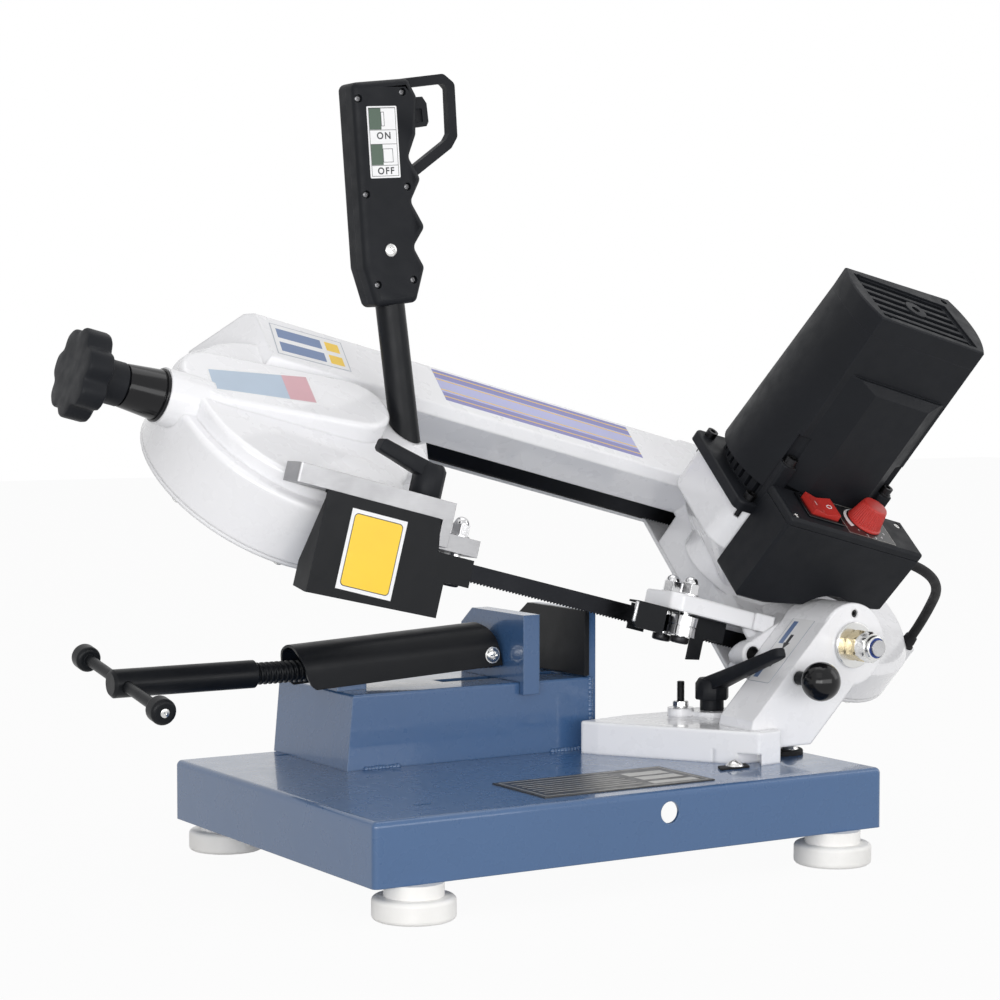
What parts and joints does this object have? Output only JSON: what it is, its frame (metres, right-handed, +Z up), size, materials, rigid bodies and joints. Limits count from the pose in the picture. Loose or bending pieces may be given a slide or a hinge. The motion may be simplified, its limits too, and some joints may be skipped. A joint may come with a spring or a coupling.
{
  "type": "metal cutting band saw",
  "caption": "Bench-top metal cutting band saw: sheet base with screw vise, mitre swivel, hinged tilted bow with motor, gearbox, blade guides and upright handle.",
  "frame": {"origin": "floor level under the centre of the base tray", "axes": "+X along the long side of the base towards the bow pivot, +Y away from the operator towards the vise, +Z up"},
  "size_m": [0.7301, 0.331, 0.5621],
  "materials": {
    "blue_enamel": "gloss",
    "white_paint": "gloss",
    "white_plastic": "satin",
    "black_plastic": "matte",
    "black_steel": "satin",
    "bright_zinc": "polished",
    "dark_screws": "satin",
    "steel": "satin",
    "cast_wheel": "matte",
    "bare_aluminium": "satin",
    "dark_plate": "satin",
    "soft_rubber": "matte",
    "red_plastic": "gloss"
  },
  "bodies": {
    "base": {"base_tray": "blue_enamel", "feet": "white_plastic", "base_screws": "bright_zinc", "mitre_stud": "steel", "mitre_stops": "soft_rubber", "rating_plate": "dark_plate", "vise_bed": "blue_enamel", "fixed_jaw": "blue_enamel", "jaw_plate": "black_steel"},
    "swivel": {"swivel_casting": "white_paint", "down_stop": "bright_zinc"},
    "mitre_lever": {"mitre_lever": "black_plastic"},
    "frame_pin": {"lock_plunger": "black_steel", "ball_knob": "black_plastic"},
    "bow": {"bow_casting": "white_paint", "rear_cover": "white_paint", "pan_screws": "bright_zinc", "pivot_shaft": "steel", "pivot_nuts": "bright_zinc", "return_spring": "steel", "gearbox_cover": "white_paint", "motor_flange": "black_plastic", "motor_housing": "black_plastic", "motor_cap": "black_plastic", "socket_screws": "dark_screws", "stator": "steel", "control_box": "black_plastic", "lead": "soft_rubber", "handle_tube": "black_steel", "handle_shell_left": "black_plastic", "handle_shell_right": "black_plastic", "rear_guide_arm": "white_paint", "rear_guide_guard": "black_steel", "guide_nuts": "bright_zinc", "blade": "steel", "bow_bearings": "steel", "tension_sleeve": "black_plastic"},
    "tension_slide": {"tension_slide": "steel"},
    "tension_knob": {"tension_knob": "black_plastic"},
    "idler_wheel": {"idler_wheel": "cast_wheel", "idler_bearings": "steel"},
    "drive_wheel": {"drive_wheel": "cast_wheel", "drive_shaft": "steel"},
    "cluster_gear": {"cluster_gear": "steel"},
    "motor_rotor": {"motor_rotor": "steel"},
    "guide_arm": {"guide_bar": "bare_aluminium", "guide_guard": "black_steel", "front_pins": "bright_zinc"},
    "guide_lever": {"guide_lever": "black_plastic"},
    "front_roller_a": {"front_roller_a": "steel"},
    "front_roller_b": {"front_roller_b": "steel"},
    "rear_roller_a": {"rear_roller_a": "steel"},
    "rear_roller_b": {"rear_roller_b": "steel"},
    "trigger": {"trigger": "black_plastic"},
    "rocker": {"rocker": "red_plastic"},
    "speed_knob": {"speed_knob": "red_plastic"},
    "vise_jaw": {"vise_jaw": "blue_enamel", "screw_guard": "black_steel"},
    "vise_screw": {"vise_screw": "black_steel"},
    "tommy_bar": {"tommy_bar": "black_steel"}
  },
  "joints": [
    {"name": "mitre_swivel", "type": "hinge", "parent": "base", "child": "swivel", "pos_m": [0.163, -0.006, 0], "axis": [0, 0, 1], "range_deg": [0, 45]},
    {"name": "mitre_lever_turn", "type": "hinge", "parent": "swivel", "child": "mitre_lever", "pos_m": [0.163, -0.006, 0], "axis": [0, 0, 1], "range_deg": [-15, 0]},
    {"name": "frame_pin_pull", "type": "slide", "parent": "swivel", "child": "frame_pin", "axis": [0, -1, 0], "range_m": [0, 0.012], "stiffness_N_per_m": 500, "springref_m": -0.006},
    {"name": "bow_pivot", "type": "hinge", "parent": "swivel", "child": "bow", "pos_m": [0.231, 0, 0.148], "axis": [0, 1, 0], "range_deg": [-14, 35], "stiffness_Nm_per_rad": 60, "springref_deg": 34.52},
    {"name": "tension_knob_turn", "type": "hinge", "parent": "bow", "child": "tension_knob", "pos_m": [-0.32545, 0.03103, 0.34815], "axis": [0.9677, 0, -0.2521], "range_deg": [-1, 1441]},
    {"name": "tension_slide_move", "type": "slide", "parent": "bow", "child": "tension_slide", "axis": [0.9677, 0, -0.2521], "range_m": [0, 0.006]},
    {"name": "drive_spin", "type": "hinge", "parent": "bow", "child": "drive_wheel", "pos_m": [0.28937, 0.04748, 0.16459], "axis": [0.2039, -0.5878, 0.7829], "continuous": true},
    {"name": "idler_spin", "type": "hinge", "parent": "tension_slide", "child": "idler_wheel", "pos_m": [-0.17633, 0.04748, 0.2859], "axis": [0.2039, -0.5878, 0.7829], "continuous": true},
    {"name": "cluster_spin", "type": "hinge", "parent": "bow", "child": "cluster_gear", "pos_m": [0.26048, 0.01222, 0.22228], "axis": [0.2039, -0.5878, 0.7829], "continuous": true},
    {"name": "rotor_spin", "type": "hinge", "parent": "bow", "child": "motor_rotor", "pos_m": [0.25108, -0.05832, 0.32505], "axis": [0.2039, -0.5878, 0.7829], "continuous": true},
    {"name": "guide_arm_slide", "type": "slide", "parent": "bow", "child": "guide_arm", "axis": [0.9677, 0, -0.2521], "range_m": [0, 0.06]},
    {"name": "guide_lever_turn", "type": "hinge", "parent": "bow", "child": "guide_lever", "pos_m": [-0.10855, -0.046, 0.27261], "axis": [0.2521, 0, 0.9677], "range_deg": [0, 70]},
    {"name": "front_roller_a_spin", "type": "hinge", "parent": "guide_arm", "child": "front_roller_a", "pos_m": [-0.07636, -0.02538, 0.2137], "axis": [0.2521, 0, 0.9677], "continuous": true},
    {"name": "front_roller_b_spin", "type": "hinge", "parent": "guide_arm", "child": "front_roller_b", "pos_m": [-0.07636, -0.00263, 0.2137], "axis": [0.2521, 0, 0.9677], "continuous": true},
    {"name": "rear_roller_a_spin", "type": "hinge", "parent": "bow", "child": "rear_roller_a", "pos_m": [0.12101, -0.02538, 0.16229], "axis": [0.2521, 0, 0.9677], "continuous": true},
    {"name": "rear_roller_b_spin", "type": "hinge", "parent": "bow", "child": "rear_roller_b", "pos_m": [0.12101, -0.00263, 0.16229], "axis": [0.2521, 0, 0.9677], "continuous": true},
    {"name": "trigger_pull", "type": "slide", "parent": "bow", "child": "trigger", "axis": [-0.9917, 0, -0.1288], "range_m": [0, 0.006], "stiffness_N_per_m": 300, "springref_m": -0.004},
    {"name": "rocker_tilt", "type": "hinge", "parent": "bow", "child": "rocker", "pos_m": [0.20909, -0.07302, 0.24614], "axis": [0.1482, 0.809, 0.5688], "range_deg": [-8, 8]},
    {"name": "speed_turn", "type": "hinge", "parent": "bow", "child": "speed_knob", "pos_m": [0.25406, -0.07989, 0.24421], "axis": [0.2039, -0.5878, 0.7829], "range_deg": [0, 270]},
    {"name": "jaw_slide", "type": "slide", "parent": "base", "child": "vise_jaw", "axis": [1, 0, 0], "range_m": [-0.038, 0.0422]},
    {"name": "vise_screw_turn", "type": "hinge", "parent": "vise_jaw", "child": "vise_screw", "pos_m": [-0.18, 0.074, 0.136], "axis": [1, 0, 0], "range_deg": [-3421, 3799]},
    {"name": "tommy_slide", "type": "slide", "parent": "vise_screw", "child": "tommy_bar", "axis": [0, 0.9848, 0.1736], "range_m": [-0.04, 0.04]}
  ],
  "couplings": [
    {"joint": "tension_knob_turn", "follows": "tension_slide_move", "rad_per_m": 4188.8},
    {"joint": "idler_spin", "follows": "drive_spin", "ratio": 1},
    {"joint": "cluster_spin", "follows": "drive_spin", "ratio": -3.7222},
    {"joint": "rotor_spin", "follows": "drive_spin", "ratio": 10.753},
    {"joint": "front_roller_a_spin", "follows": "drive_spin", "ratio": -6.9091},
    {"joint": "front_roller_b_spin", "follows": "drive_spin", "ratio": 6.9091},
    {"joint": "rear_roller_a_spin", "follows": "drive_spin", "ratio": -6.9091},
    {"joint": "rear_roller_b_spin", "follows": "drive_spin", "ratio": 6.9091},
    {"joint": "vise_screw_turn", "follows": "jaw_slide", "rad_per_m": 1570.8}
  ]
}
